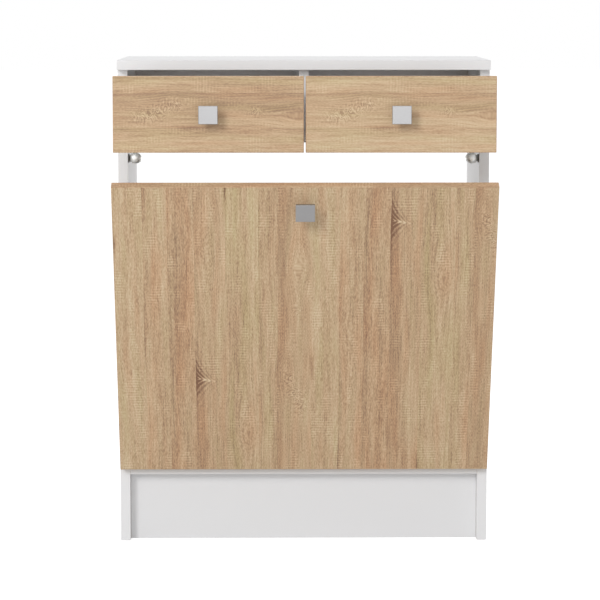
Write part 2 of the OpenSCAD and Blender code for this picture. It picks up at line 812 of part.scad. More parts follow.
// Places of the screws that hold the brackets and hinges, with the board's face at the
// origin and the screw's shank along +Z
module wing_screw_places() {
    for (h = bracket_h)
        translate([wing_x, bin_front_d + bracket_arm - bracket_edge, h])
            rotate([0, 90, 0]) children();
}

module door_screw_place(x, h) {
    translate([x, bin_front_d, h]) rotate([90, 0, 0]) children();
}

module bin_brackets() {
    color(ZINC) tipped() at_both_sides() difference() {
        for (h = bracket_h) {
            translate([wing_x - bracket_t, bin_front_d, h - bracket_w / 2])
                cube([bracket_t, bracket_arm, bracket_w]);
            translate([wing_x - bracket_arm, bin_front_d, h - bracket_w / 2])
                cube([bracket_arm, bracket_t, bracket_w]);
        }
        for (h = bracket_h) {
            rod_x([wing_x - bracket_t - 1, bin_front_d + bracket_arm - bracket_edge, h],
                  screw_d + 2 * fit_gap, bracket_t + 2);
            rod_y([wing_x - bracket_arm + bracket_edge, bin_front_d - 1, h], screw_d + 2 * fit_gap,
                  bracket_t + 2);
        }
    }
}

module door_screws() {
    color(ZINC) tipped() at_both_sides() {
        wing_screw_places() translate([0, 0, -bracket_t]) screw(wing_screw_len);
        for (place = door_screw_at) door_screw_place(place[0], place[1])
            translate([0, 0, -place[2]]) screw(door_screw_len);
    }
}

// Catches: a magnetic ball on each side panel, and a steel button behind the door

module catch_bases() {
    color(DARK) at_both_sides() difference() {
        rod_x([wall_x - base_t, ball_y, ball_z], base_d, base_t);
        rod_x([wall_x - base_t - 1, ball_y, ball_z], screw_d + 2 * fit_gap, base_t + 2);
    }
}

module catch_balls() {
    color(CHROME) at_both_sides() {
        intersection() {
            translate([wall_x - ball_off, ball_y, ball_z]) rotate([0, 90, 0]) sphere(d = ball_d);
            translate([wall_x - base_t - ball_d, ball_y - ball_d, ball_z - ball_d])
                cube([ball_d, 2 * ball_d, 2 * ball_d]);
        }
        rod_x([wall_x - base_t - 1, ball_y, ball_z], screw_d, base_t + 1 + spigot_len);
    }
}

// A button meets its ball when the door is closed. Its screw's head sits in a recess.
module strike_buttons() {
    color(ZINC) tipped() at_both_sides() difference() {
        union() {
            rod_y([ball_x, bin_front_d, button_h], button_d, button_foot_t);
            rod_y([ball_x, bin_front_d, button_h], button_neck_d, button_len);
            rod_y([ball_x, bin_front_d + button_len - button_foot_t, button_h], button_d,
                  button_foot_t);
        }
        rod_y([ball_x, bin_front_d - 1, button_h], screw_d + 2 * fit_gap, button_len + 2);
        rod_y([ball_x, bin_front_d + button_len - button_sink, button_h],
              screw_head_d + 2 * fit_gap, button_sink + 1);
    }
}

// A stop stud is a turned pin set into the side panel
module stop_studs() {
    color(ZINC) at_both_sides() {
        rod_x([wall_x - wing_gap - wing_t - 1, stop_y, stop_z], stop_d, wing_gap + wing_t + 1);
        rod_x([wall_x - 1, stop_y, stop_z], stop_spigot_d, 1 + spigot_len);
    }
}

// Hinges: two knuckles of a hinge belong to the case's leaf and the middle one to the
// door's leaf

module hinge_screw_holes_case() {
    at_both_sides() for (x = hinge_screw_x)
        rod_z([x, hinge_y + leaf_w - leaf_edge, floor_z - case_screw_len], screw_d + 2 * fit_gap,
              case_screw_len + 1);
}

// A leaf lies in the plane z = -(knuckle_r + pass_gap) and reaches to +Y
module leaf(knuckles) {
    low = -knuckle_r - pass_gap;
    difference() {
        union() {
            translate([hinge_x - hinge_len / 2, knuckle_r + leaf_gap, low])
                cube([hinge_len, leaf_w - knuckle_r - leaf_gap, leaf_t]);
            for (i = knuckles) {
                translate([knuckle_x(i), 0, low]) cube([knuckle_len, knuckle_r + 1, leaf_t]);
                rod_x([knuckle_x(i), 0, 0], knuckle_d, knuckle_len);
            }
        }
        for (i = knuckles)
            rod_x([knuckle_x(i) - 1, 0, 0], hinge_pin_d + 2 * running_gap, knuckle_len + 2);
        for (x = hinge_screw_x)
            rod_z([x, leaf_w - leaf_edge, low - 1], screw_d + 2 * fit_gap, leaf_t + 2);
    }
}

module hinge_leaves_case() {
    color(ZINC) at_both_sides() translate([0, hinge_y, hinge_z]) leaf([0, 2]);
}

// The door's leaf is the same leaf stood upright against the door's rear face
module hinge_leaves_door() {
    color(ZINC) tipped() at_both_sides() mirror([0, 1, -1]) leaf([1]);
}

module hinge_pins() {
    color(ZINC) at_both_sides()
        rod_x([hinge_x - hinge_len / 2, hinge_y, hinge_z], hinge_pin_d, hinge_len);
}

// Each node
side_panel_left();
side_panel_right();
top_panel();
bottom_panel();
plinth_board();
divider_panel();
rear_rail_upper();
rear_rail_lower();
cam_discs();
cam_bolts();
case_dowels();
case_screws();
case_runner(1);  // case_runner_1
case_runner(2);  // case_runner_2
case_runner(3);  // case_runner_3
case_runner(4);  // case_runner_4
catch_bases();
catch_balls();
stop_studs();
hinge_leaves_case();
hinge_pins();
front_rollers([1, 2]);  // left_front_rollers
rear_rollers([1, 2]);  // left_rear_rollers
front_rollers([3, 4]);  // right_front_rollers
rear_rollers([3, 4]);  // right_rear_rollers
drawer_front(-1);  // left_drawer_front
drawer_side(-1, -1);  // left_drawer_side_outer
drawer_side(-1, 1);  // left_drawer_side_inner
drawer_back(-1);  // left_drawer_back
drawer_bottom(-1);  // left_drawer_bottom
drawer_handle(-1);  // left_drawer_handle
drawer_handle_screw(-1);  // left_handle_screw
drawer_runner(1);  // left_drawer_runner_outer
drawer_runner(2);  // left_drawer_runner_inner
drawer_screws(-1);  // left_drawer_screws
drawer_dowels(-1);  // left_drawer_dowels
drawer_front(1);  // right_drawer_front
drawer_side(1, 1);  // right_drawer_side_outer
drawer_side(1, -1);  // right_drawer_side_inner
drawer_back(1);  // right_drawer_back
drawer_bottom(1);  // right_drawer_bottom
drawer_handle(1);  // right_drawer_handle
drawer_handle_screw(1);  // right_handle_screw
drawer_runner(4);  // right_drawer_runner_outer
drawer_runner(3);  // right_drawer_runner_inner
drawer_screws(1);  // right_drawer_screws
drawer_dowels(1);  // right_drawer_dowels
tilt_door();
tilt_door_handle();
door_handle_screw();
bin_wing(-1);  // bin_wing_left
bin_wing(1);  // bin_wing_right
bin_back();
bin_floor();
bin_dowels();
bin_brackets();
strike_buttons();
hinge_leaves_door();
door_screws();
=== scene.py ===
import math

import bmesh
import bpy
from mathutils import Matrix, Vector


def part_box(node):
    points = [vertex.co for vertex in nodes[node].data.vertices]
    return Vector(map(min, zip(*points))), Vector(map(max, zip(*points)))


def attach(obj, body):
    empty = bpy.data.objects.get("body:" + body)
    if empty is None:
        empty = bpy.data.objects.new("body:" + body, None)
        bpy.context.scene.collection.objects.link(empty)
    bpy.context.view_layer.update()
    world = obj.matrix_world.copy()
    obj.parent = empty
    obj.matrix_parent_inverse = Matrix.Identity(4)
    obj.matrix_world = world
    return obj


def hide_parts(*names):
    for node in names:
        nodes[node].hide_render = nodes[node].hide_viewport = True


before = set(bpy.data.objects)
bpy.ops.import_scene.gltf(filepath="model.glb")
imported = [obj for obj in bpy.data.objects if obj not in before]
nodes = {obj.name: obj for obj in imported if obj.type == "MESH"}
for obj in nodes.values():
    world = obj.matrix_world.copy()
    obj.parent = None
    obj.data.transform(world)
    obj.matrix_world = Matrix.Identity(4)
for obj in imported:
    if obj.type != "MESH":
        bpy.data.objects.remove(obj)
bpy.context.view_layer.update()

# Places in metres, as in the part's source. The door and its bin are modelled closed
# and then tipped about the hinge line. The drawers are modelled where they rest.
HINGE_LINE = Vector((0.0, -0.02695, 0.12905))
TIP_ANGLE = math.radians(22.5)
TIPPED = (Matrix.Translation(HINGE_LINE) @ Matrix.Rotation(TIP_ANGLE, 4, "X")
          @ Matrix.Translation(-HINGE_LINE))
SIDES = {"left": -1, "right": 1}


# Materials

def linear(hex_colour):
    """An sRGB hex colour as linear RGBA."""
    def channel(v):
        v = int(v, 16) / 255
        return v / 12.92 if v <= 0.04045 else ((v + 0.055) / 1.055) ** 2.4
    return tuple(channel(hex_colour[i:i + 2]) for i in (1, 3, 5)) + (1.0,)


def feed(node, sockets):
    """Fills a node's sockets by number or name. Each takes a number, a vector, a hex
    colour, an output, or another node for its first output."""
    used = [socket for socket in node.inputs if socket.enabled]
    by_name = {socket.name: socket for socket in reversed(used)}
    for key, value in sockets.items():
        socket = used[key] if isinstance(key, int) else by_name[key.replace("_", " ")]
        if isinstance(value, bpy.types.Node):
            value = next(output for output in value.outputs if output.enabled)
        if isinstance(value, bpy.types.NodeSocket):
            node.id_data.links.new(value, socket)
        else:
            socket.default_value = linear(value) if isinstance(value, str) else value


def add(tree, kind, *values, stops=(), ease="LINEAR", **settings):
    """Adds a node. The values go to its sockets in their order, and each setting to the
    node itself or to the socket of that name. Stops are a ramp's places and colours."""
    node = tree.nodes.new("ShaderNode" + kind)
    for key in [key for key in settings if hasattr(node, key)]:
        setattr(node, key, settings.pop(key))
    feed(node, {**dict(enumerate(values)), **settings})
    if stops:
        node.color_ramp.interpolation = ease
        elements = node.color_ramp.elements
        while len(elements) < len(stops):
            elements.new(0.5)
        for element, (place, colour) in zip(elements, stops):
            element.position = place
            element.color = linear(colour) if isinstance(colour, str) else colour
    return node


def finish_of(name, **values):
    """A new material with its node tree and its shader, which gets its own values."""
    material = bpy.data.materials.new(name)
    material.use_nodes = True
    shader = material.node_tree.nodes["Principled BSDF"]
    feed(shader, values)
    return material, material.node_tree, shader


# Patterns read Object coordinates in metres, so a scale of 700 draws grains 1.4 mm wide.

# The oak print repeats every 307.7 mm across, each time 284 mm further along. Its staves
# are listed by left edge in metres, tone, pink against green, and how dark the edge is.
PRINT_REPEAT, PRINT_STEP = 0.3077, 0.284
PRINT_STAVES = (
    (0.0000, 0.42, 0.72, 1.00), (0.0490, 0.52, 0.30, 0.55), (0.1000, 0.53, 0.38, 0.30),
    (0.1310, 0.43, 0.64, 0.60), (0.1847, 0.55, 0.32, 0.25), (0.2280, 0.53, 0.60, 0.90),
    (0.2660, 0.43, 0.74, 0.75))

# Places on the print, across and along, in metres: a branch knot with its size, and
# curly patches, eyes that the grain flows round and dark streaks, each with its width,
# length and strength
PRINT_KNOT = (0.0005, 0.0, 0.031)
PRINT_CURLS = (
    (0.1500, -0.002, 0.009, 0.013, 0.28), (0.1600, -0.028, 0.011, 0.015, 0.26),
    (0.1690, -0.052, 0.012, 0.018, 0.24), (0.1595, 0.123, 0.008, 0.013, 0.20))
PRINT_EYES = (
    (0.165, 0.195, 0.020, 0.045, -0.9), (0.146, 0.000, 0.014, 0.040, -0.8),
    (0.080, -0.090, 0.020, 0.080, -0.6), (0.245, 0.060, 0.016, 0.090, -0.6),
    (0.020, 0.220, 0.020, 0.090, -0.6))
PRINT_STREAKS = (
    (0.0500, 0.338, 0.002, 0.018, 0.45), (0.0488, -0.450, 0.002, 0.020, 0.40),
    (0.2297, 0.620, 0.003, 0.030, 0.30), (0.2290, -0.150, 0.0015, 0.030, 0.30),
    (0.1845, 0.527, 0.002, 0.012, 0.45), (0.1845, 0.022, 0.003, 0.025, 0.25))

# Grains of the print: width and length in metres, then the noise's detail, roughness and
# distortion. The fibres are drawn 0.8 mm wide, coarser than real ones, so that they show.
GRAINS = {
    "slow waves": (0.09, 0.25, 1, 0.55, 0.0), "quick waves": (0.020, 0.075, 1, 0.55, 0.0),
    "bands": (0.016, 0.40, 1, 0.5, 0.0), "veins": (0.0070, 0.150, 1, 0.5, 0.0),
    "lines": (0.0013, 0.045, 0, 0.5, 0.0), "fibres": (0.0008, 0.0042, 0, 0.5, 0.0),
    "pores": (0.0012, 0.012, 0, 0.5, 0.0), "saw patches": (0.022, 0.050, 1, 0.5, 0.0),
    "curls": (0.019, 0.0100, 0, 0.5, 1.6), "hues": (0.015, 0.16, 1, 0.5, 0.0),
}

# How far each grain moves the tone, which runs from 0 for dark to 1 for pale
BAND_TONE, VEIN_TONE, LINE_TONE, FIBRE_TONE, PORE_TONE = 0.46, 0.20, 0.50, 0.68, -0.11

# How far the waves carry the staves' edges and the grain sideways, in metres
STAVE_WANDER, GRAIN_WANDER = 0.006, 0.0055

# Each stave pales away from its left edge, by so much a metre. The edge's dark joint
# fades within 5.5 mm.
STAVE_PALING, JOINT_TONE, JOINT_WIDTH = 1.3, -0.60, 0.0055

# Saw marks lie 4.8 mm apart. The power narrows each to a thin pale line.
SAW_STEP, SAW_TONE, SAW_POWER = 0.0048, 0.28, 4.0

# The knot, in sizes of its own: how its lines lean, how their arms spread and bend, how
# close they lie, how fast they fade, and how dark they are
KNOT_LEAN, KNOT_SPREAD, KNOT_BEND, KNOT_LINES = 0.22, 0.27, 0.90, 26.0
KNOT_FADE, KNOT_LINE_TONE = 1.5, 1.15
# Its dark rim at the stave's edge: how fast it fades across and along, and its tone
RIM_ACROSS, RIM_ALONG, RIM_TONE = 7.0, 1.6, 0.55
# The branch's pale line: where it is palest, how fast it fades both ways, and its tone
BRANCH_PLACE, BRANCH_ACROSS, BRANCH_ALONG, BRANCH_TONE = 0.45, 7.0, 150.0, 0.70

# How closely the curls' strokes follow each other
CURL_STROKES = 32.0

# How far the hues carry a stave from pink to green, and how soon the two tints set in
HUE_SWING, TINT = -1.6, 1.6


def grain_space(tree, turn, shift):
    """Coordinates that run across the grain, into the board and along the grain."""
    place = add(tree, "TexCoord").outputs["Object"]
    turned = add(tree, "Mapping", place, Rotation=turn, Location=shift)
    return add(tree, "SeparateXYZ", turned).outputs[:]


def grain_noise(tree, across, depth, along, grain):
    """Noise in grains of the listed width and length."""
    wide, long, detail, roughness, distortion = GRAINS[grain]
    place = add(tree, "CombineXYZ", add(tree, "Math", across, wide, operation="DIVIDE"),
                add(tree, "Math", depth, wide, operation="DIVIDE"),
                add(tree, "Math", along, long, operation="DIVIDE"))
    return add(tree, "TexNoise", place, Scale=1.0, Detail=detail, Roughness=roughness,
               Distortion=distortion)


def swing(tree, base, pattern, width):
    """A value that a pattern of 0 to 1 moves to both sides, so much between its ends."""
    centred = add(tree, "Math", pattern, 0.5, operation="SUBTRACT")
    return add(tree, "Math", centred, width, base, operation="MULTIPLY_ADD")


def fade(tree, distance, rate):
    """1 at no distance, falling off to 0."""
    return add(tree, "Math", add(tree, "Math", distance, -rate, operation="MULTIPLY"),
               operation="EXPONENT")


def bell(tree, across, along, u, v, wide, long):
    """1 at a place on the board, falling off to 0 over so many metres each way."""
    a = add(tree, "Math", add(tree, "Math", across, u, operation="SUBTRACT"), wide,
            operation="DIVIDE")
    b = add(tree, "Math", add(tree, "Math", along, v, operation="SUBTRACT"), long,
            operation="DIVIDE")
    bb = add(tree, "Math", b, b, operation="MULTIPLY")
    return fade(tree, add(tree, "Math", a, a, bb, operation="MULTIPLY_ADD"), 1.0)


def stave_values(tree, across):
    """For a place across the print: the stave's left edge as a share of the repeat, its
    tone and pinkness, which run on towards the next stave's by half, and how dark its
    edge is."""
    share = add(tree, "Math", across, PRINT_REPEAT, operation="DIVIDE")
    stops = [(left / PRINT_REPEAT, (left / PRINT_REPEAT, tone, pink, dark))
             for left, tone, pink, dark in PRINT_STAVES]
    here = add(tree, "ValToRGB", share, stops=stops, ease="CONSTANT")
    onward = add(tree, "ValToRGB", share, stops=stops)
    left, tone, pink = add(tree, "SeparateColor", here).outputs[:]
    _, next_tone, next_pink = add(tree, "SeparateColor", onward).outputs[:]
    tone = add(tree, "Math", tone, next_tone, operation="ADD")
    tone = add(tree, "Math", tone, 0.5, operation="MULTIPLY")
    pink = add(tree, "Math", pink, next_pink, operation="ADD")
    pink = add(tree, "Math", pink, 0.5, operation="MULTIPLY")
    return left, tone, pink, here.outputs["Alpha"]


def with_knot(tree, tone, across, along, quick):
    """The tone with the branch knot: lines that come along the stave and bend out beside
    a branch, dark at the stave's edge, with the branch's pale line along their middle."""
    u, v, size = PRINT_KNOT
    a = add(tree, "Math", across, u, operation="SUBTRACT")
    a = add(tree, "Math", a, size, operation="DIVIDE")
    b = add(tree, "Math", along, v, operation="SUBTRACT")
    b = add(tree, "Math", b, size, operation="DIVIDE")
    b = add(tree, "Math", a, KNOT_LEAN, b, operation="MULTIPLY_ADD")
    bb = add(tree, "Math", b, b, operation="MULTIPLY")
    # The knot lies only on the right of the stave's edge, with a soft start
    side = add(tree, "Math", a, 14.0, 0.5, operation="MULTIPLY_ADD", use_clamp=True)

    arm = add(tree, "Math", bb, 0.001, operation="ADD")
    arm = add(tree, "Math", arm, KNOT_SPREAD, operation="POWER")
    head = add(tree, "Math", arm, KNOT_BEND, a, operation="MULTIPLY_ADD")
    beat = add(tree, "Math", head, KNOT_LINES, operation="MULTIPLY")
    beat = add(tree, "Math", quick, 5.0, beat, operation="MULTIPLY_ADD")
    rings = add(tree, "Math", beat, operation="SINE")
    rings = add(tree, "Math", rings, 0.5, 0.5, operation="MULTIPLY_ADD")
    near = fade(tree, add(tree, "Math", head, head, operation="MULTIPLY"), KNOT_FADE)
    rings = add(tree, "Math", rings, near, operation="MULTIPLY")

    rim = add(tree, "Math", fade(tree, a, RIM_ACROSS), fade(tree, bb, RIM_ALONG),
              operation="MULTIPLY")
    rim = add(tree, "Math", rim, RIM_TONE, operation="MULTIPLY")
    dark = add(tree, "Math", rings, KNOT_LINE_TONE, rim, operation="MULTIPLY_ADD")
    dark = add(tree, "Math", dark, side, operation="MULTIPLY")
    tone = add(tree, "Math", dark, -1.0, tone, operation="MULTIPLY_ADD")

    reach = add(tree, "Math", a, BRANCH_PLACE, operation="SUBTRACT")
    reach = add(tree, "Math", reach, 2.0, operation="POWER")
    branch = add(tree, "Math", fade(tree, bb, BRANCH_ALONG), fade(tree, reach, BRANCH_ACROSS),
                 operation="MULTIPLY")
    return add(tree, "Math", branch, BRANCH_TONE, tone, operation="MULTIPLY_ADD")


def rough_sawn_oak(name, turn, shift, calm=1.0, pale=0.0):
    """Rough-sawn oak decor foil on chipboard. A printed paper under a matt resin with a
    fine sawn relief: staves of tan, pinkish and greenish oak, each darker at its left
    edge, with short fibres along them, patches of pale saw marks across, a branch knot
    and curly grain. Calm below 1 weakens the fibres, pores and saw marks, so that the
    lines look longer. Pale lifts the whole tone."""
    material, tree, shader = finish_of(name, Roughness=0.62, IOR=1.5)
    across, depth, along = grain_space(tree, turn, shift)

    # The edges of the staves wander, and the print repeats
    slow = grain_noise(tree, across, depth, along, "slow waves")
    across = swing(tree, across, slow, STAVE_WANDER)
    turns = add(tree, "Math", across, PRINT_REPEAT, operation="DIVIDE")
    turns = add(tree, "Math", turns, operation="FLOOR")
    across = add(tree, "Math", turns, -PRINT_REPEAT, across, operation="MULTIPLY_ADD")
    along = add(tree, "Math", turns, -PRINT_STEP, along, operation="MULTIPLY_ADD")
    left, stave_tone, pink, dark_edge = stave_values(tree, across)
    inward = add(tree, "Math", left, -PRINT_REPEAT, across, operation="MULTIPLY_ADD")
    # Each stave is cut from another board, so it reads the noise at another depth
    depth = add(tree, "Math", left, 7.3, depth, operation="MULTIPLY_ADD")

    # The grain wanders within a stave and flows round the eyes
    quick = grain_noise(tree, across, depth, along, "quick waves")
    flow = add(tree, "Math", quick, GRAIN_WANDER, across, operation="MULTIPLY_ADD")
    for u, v, wide, long, push in PRINT_EYES:
        eye = bell(tree, across, along, u, v, wide, long)
        off = add(tree, "Math", across, u, operation="SUBTRACT")
        off = add(tree, "Math", off, push, operation="MULTIPLY")
        flow = add(tree, "Math", eye, off, flow, operation="MULTIPLY_ADD")

    # Long bands, veins within them, thin lines and short fibres
    bands = grain_noise(tree, flow, depth, along, "bands")
    veins = grain_noise(tree, flow, depth, along, "veins")
    lines = grain_noise(tree, flow, depth, along, "lines")
    fibres = grain_noise(tree, flow, depth, along, "fibres")
    tone = swing(tree, stave_tone, bands, BAND_TONE)
    tone = swing(tree, tone, veins, VEIN_TONE)
    tone = swing(tree, tone, lines, LINE_TONE)
    tone = swing(tree, tone, fibres, FIBRE_TONE * calm)
    tone = add(tree, "Math", inward, STAVE_PALING, tone, operation="MULTIPLY_ADD")

    # The dark joint at the stave's left edge follows the bands and fades in places
    joint = add(tree, "Math", add(tree, "Math", inward, -JOINT_WIDTH, operation="DIVIDE"),
                operation="EXPONENT")
    banded = add(tree, "Math", bands, 0.5, 0.10, operation="MULTIPLY_ADD")
    joint = add(tree, "Math", joint, banded, operation="MULTIPLY")
    shown = add(tree, "Math", slow, 5.0, -1.9, operation="MULTIPLY_ADD", use_clamp=True)
    joint = add(tree, "Math", joint, shown, operation="MULTIPLY")
    joint = add(tree, "Math", joint, dark_edge, operation="MULTIPLY")
    tone = add(tree, "Math", joint, JOINT_TONE, tone, operation="MULTIPLY_ADD")

    # Open pores: short dark dashes, crowded in some veins
    pores = grain_noise(tree, flow, depth, along, "pores")
    pores = add(tree, "Math", pores, 5.0, -3.1, operation="MULTIPLY_ADD", use_clamp=True)
    tone = add(tree, "Math", pores, PORE_TONE * calm, tone, operation="MULTIPLY_ADD")

    # Saw marks across the grain, in patches of 15 to 50 mm
    beat = add(tree, "Math", along, 2 * math.pi / SAW_STEP, operation="MULTIPLY")
    beat = add(tree, "Math", quick, 3.0, beat, operation="MULTIPLY_ADD")
    saw = add(tree, "Math", beat, operation="SINE")
    saw = add(tree, "Math", saw, 0.5, 0.5, operation="MULTIPLY_ADD")
    saw = add(tree, "Math", saw, SAW_POWER, operation="POWER")
    patch = grain_noise(tree, across, depth, along, "saw patches")
    patch = add(tree, "Math", patch, 7.0, -3.7, operation="MULTIPLY_ADD", use_clamp=True)
    saw = add(tree, "Math", saw, patch, operation="MULTIPLY")
    tone = add(tree, "Math", saw, SAW_TONE * calm, tone, operation="MULTIPLY_ADD")

    # The knot, wavy pale and dark strokes in the curly patches, and the streaks
    tone = with_knot(tree, tone, across, along, quick)
    wave = grain_noise(tree, across, depth, along, "curls")
    wave = add(tree, "Math", wave, CURL_STROKES, operation="MULTIPLY")
    stroke = add(tree, "Math", wave, operation="SINE")
    for u, v, wide, long, strength in PRINT_CURLS:
        curl = bell(tree, across, along, u, v, wide, long)
        curl = add(tree, "Math", stroke, curl, operation="MULTIPLY")
        tone = add(tree, "Math", curl, strength, tone, operation="MULTIPLY_ADD")
    for u, v, wide, long, darker in PRINT_STREAKS:
        streak = bell(tree, across, along, u, v, wide, long)
        tone = add(tree, "Math", streak, -darker, tone, operation="MULTIPLY_ADD")

    colour = add(tree, "ValToRGB", add(tree, "Math", tone, pale, operation="ADD"), stops=[
        (0.0, "#82614a"), (0.22, "#a6876b"), (0.42, "#bf9f7d"), (0.60, "#cfb28f"),
        (0.80, "#dac29f"), (1.0, "#e4d0b0")])
    # Pink staves against green ones, and long veins that lean to green
    hue = swing(tree, pink, grain_noise(tree, flow, depth, along, "hues"), HUE_SWING)
    for strength, tint in ((TINT, "#fff0ea"), (-TINT, "#f5fcf0")):
        share = add(tree, "Math", hue, strength, -strength / 2, operation="MULTIPLY_ADD",
                    use_clamp=True)
        colour = add(tree, "Mix", share, colour, tint, data_type="RGBA",
                     blend_type="MULTIPLY")

    # The relief follows the fibres, pores and saw marks, 0.15 mm deep
    relief = add(tree, "Math", fibres, pores, operation="SUBTRACT")
    relief = add(tree, "Math", saw, 0.5, relief, operation="MULTIPLY_ADD")
    feed(shader, {
        "Base Color": colour,
        "Normal": add(tree, "Bump", Height=relief, Distance=0.00015, Strength=0.7),
        "Roughness": add(tree, "Math", fibres, -0.2, 0.72, operation="MULTIPLY_ADD")})
    return material


def white_melamine(name, tint="#ebebec", roughness=0.42):
    """White melamine foil on chipboard. Pressed between satin plates: an even white with
    a fine orange-peel relief that softens its reflections."""
    material, tree, shader = finish_of(name, Roughness=roughness, IOR=1.5)
    place = add(tree, "TexCoord").outputs["Object"]
    peel = add(tree, "TexNoise", place, Scale=700.0, Detail=2.0)
    cloud = add(tree, "TexNoise", place, Scale=9.0, Detail=2.0)
    share = add(tree, "Math", cloud, 0.05, operation="MULTIPLY")
    feed(shader, {
        "Base Color": add(tree, "Mix", share, tint, "#d6d5d8", data_type="RGBA"),
        "Roughness": add(tree, "Math", cloud, 0.08, roughness - 0.04,
                         operation="MULTIPLY_ADD"),
        "Normal": add(tree, "Bump", Height=peel, Distance=0.00006, Strength=0.6)})
    return material


def raw_chipboard():
    """Raw sawn edge of chipboard. Pressed wood chips 1 to 2 mm long, mostly pale, with
    small dark gaps, dull all over."""
    material, tree, shader = finish_of("raw chipboard edge", Roughness=0.9, IOR=1.45)
    place = add(tree, "TexCoord").outputs["Object"]
    chips = add(tree, "TexVoronoi", place, Scale=700.0, Randomness=1.0)
    chip = add(tree, "SeparateColor", chips.outputs["Color"])
    fine = add(tree, "TexNoise", place, Scale=1500.0, Detail=3.0)
    tone = add(tree, "Math", chip, 0.45, operation="MULTIPLY")
    tone = add(tree, "Math", fine, 0.7, tone, operation="MULTIPLY_ADD")
    feed(shader, {
        "Base Color": add(tree, "ValToRGB", tone, stops=[
            (0.1, "#94806a"), (0.4, "#b9a68a"), (0.7, "#cdbda1"), (1.0, "#ddd3bf")]),
        "Normal": add(tree, "Bump", Height=tone, Distance=0.0003, Strength=0.7)})
    return material


def lacquered_hardboard():
    """The lacquered face of thin hardboard. A sprayed white film: smooth, slightly
    greyer than the boards, with faint long waves."""
    material, tree, shader = finish_of("white lacquered hardboard", Roughness=0.35, IOR=1.5)
    place = add(tree, "TexCoord").outputs["Object"]
    wave = add(tree, "TexNoise", place, Scale=40.0, Detail=3.0)
    feed(shader, {
        "Base Color": add(tree, "Mix", wave, "#e9e9e7", "#e0e0de", data_type="RGBA"),
        "Normal": add(tree, "Bump", Height=wave, Distance=0.0002, Strength=0.4)})
    return material


def hardboard_back(turn):
    """The rough back of hardboard. Brown wood fibre pressed on a wire screen: a fine
    square mesh print 1.6 mm apart, and dark and pale fibres."""
    material, tree, shader = finish_of("hardboard screen back", Roughness=0.85, IOR=1.45)
    place = add(tree, "TexCoord").outputs["Object"]
    across, _, up = add(tree, "SeparateXYZ",
                        add(tree, "Mapping", place, Rotation=turn)).outputs[:]
    wire_step = 2 * math.pi / 0.0016
    weft = add(tree, "Math", across, wire_step, operation="MULTIPLY")
    warp = add(tree, "Math", up, wire_step, operation="MULTIPLY")
    mesh = add(tree, "Math", add(tree, "Math", weft, operation="SINE"),
               add(tree, "Math", warp, operation="SINE"), operation="MULTIPLY")
    fibre = add(tree, "TexNoise", place, Scale=260.0, Detail=4.0, Roughness=0.7)
    cloud = add(tree, "TexNoise", place, Scale=14.0, Detail=2.0)
    tone = add(tree, "Math", fibre, 0.8, operation="MULTIPLY")
    tone = add(tree, "Math", cloud, 0.4, tone, operation="MULTIPLY_ADD")
    tone = add(tree, "Math", mesh, 0.06, tone, operation="MULTIPLY_ADD")
    relief = add(tree, "Math", mesh, 0.5, fibre, operation="MULTIPLY_ADD")
    feed(shader, {
        "Base Color": add(tree, "ValToRGB", tone, stops=[
            (0.2, "#5d4a3a"), (0.55, "#79634e"), (0.9, "#937c65")]),
        "Normal": add(tree, "Bump", Height=relief, Distance=0.0003, Strength=0.8)})
    return material


def fluted_beech():
    """Beech dowel. Turned and fluted hardwood: pale pinkish tan with short dark flecks."""
    material, tree, shader = finish_of("beech dowel", Roughness=0.6, IOR=1.5)
    place = add(tree, "TexCoord").outputs["Object"]
    fleck = add(tree, "TexNoise", place, Scale=900.0, Detail=2.0)
    feed(shader, {"Base Color": add(tree, "ValToRGB", fleck, stops=[
        (0.3, "#b08a62"), (0.6, "#d3b189")])})
    return material


def satin_nickel():
    """Satin nickel plating on cast zinc. Fine brushing blurs every reflection into a
    soft cool grey that follows the light."""
    material, tree, shader = finish_of("satin nickel plating", Metallic=1.0, Roughness=0.30)
    place = add(tree, "TexCoord").outputs["Object"]
    # Brushing lines 0.3 mm apart along X
    line = add(tree, "Mapping", place, Scale=(60.0, 3000.0, 3000.0))
    brush = add(tree, "TexNoise", line, Scale=1.0, Detail=2.0)
    feed(shader, {
        "Base Color": add(tree, "Mix", brush, "#9e9d9e", "#929293", data_type="RGBA"),
        "Roughness": add(tree, "Math", brush, 0.10, 0.25, operation="MULTIPLY_ADD"),
        "Normal": add(tree, "Bump", Height=brush, Distance=0.00002, Strength=0.5)})
    return material


def satin_chrome():
    """Satin chrome plating on a pressed dome. Fine blasting blurs what it mirrors into a
    light grey, and handling leaves a faint haze."""
    material, tree, shader = finish_of("satin chrome plating", Metallic=1.0, Roughness=0.60)
    place = add(tree, "TexCoord").outputs["Object"]
    haze = add(tree, "TexNoise", place, Scale=180.0, Detail=3.0)
    feed(shader, {
        "Base Color": add(tree, "Mix", haze, "#f0f0ee", "#e6e7e5", data_type="RGBA"),
        "Roughness": add(tree, "Math", haze, 0.08, 0.56, operation="MULTIPLY_ADD")})
    return material


def bright_zinc():
    """Bright zinc plated steel. Barrel plated: bluish silver with a fine crystal bloom
    and small scuffs."""
    material, tree, shader = finish_of("bright zinc plating", Metallic=1.0, Roughness=0.34)
    place = add(tree, "TexCoord").outputs["Object"]
    bloom = add(tree, "TexVoronoi", place, Scale=650.0)
    scuff = add(tree, "TexNoise", place, Scale=420.0, Detail=4.0, Roughness=0.7)
    feed(shader, {
        "Base Color": add(tree, "Mix", bloom, "#c3c8ce", "#a4abb4", data_type="RGBA"),
        "Roughness": add(tree, "Math", scuff, 0.3, 0.2, operation="MULTIPLY_ADD"),
        "Normal": add(tree, "Bump", Height=scuff, Distance=0.00003, Strength=0.5)})
    return material


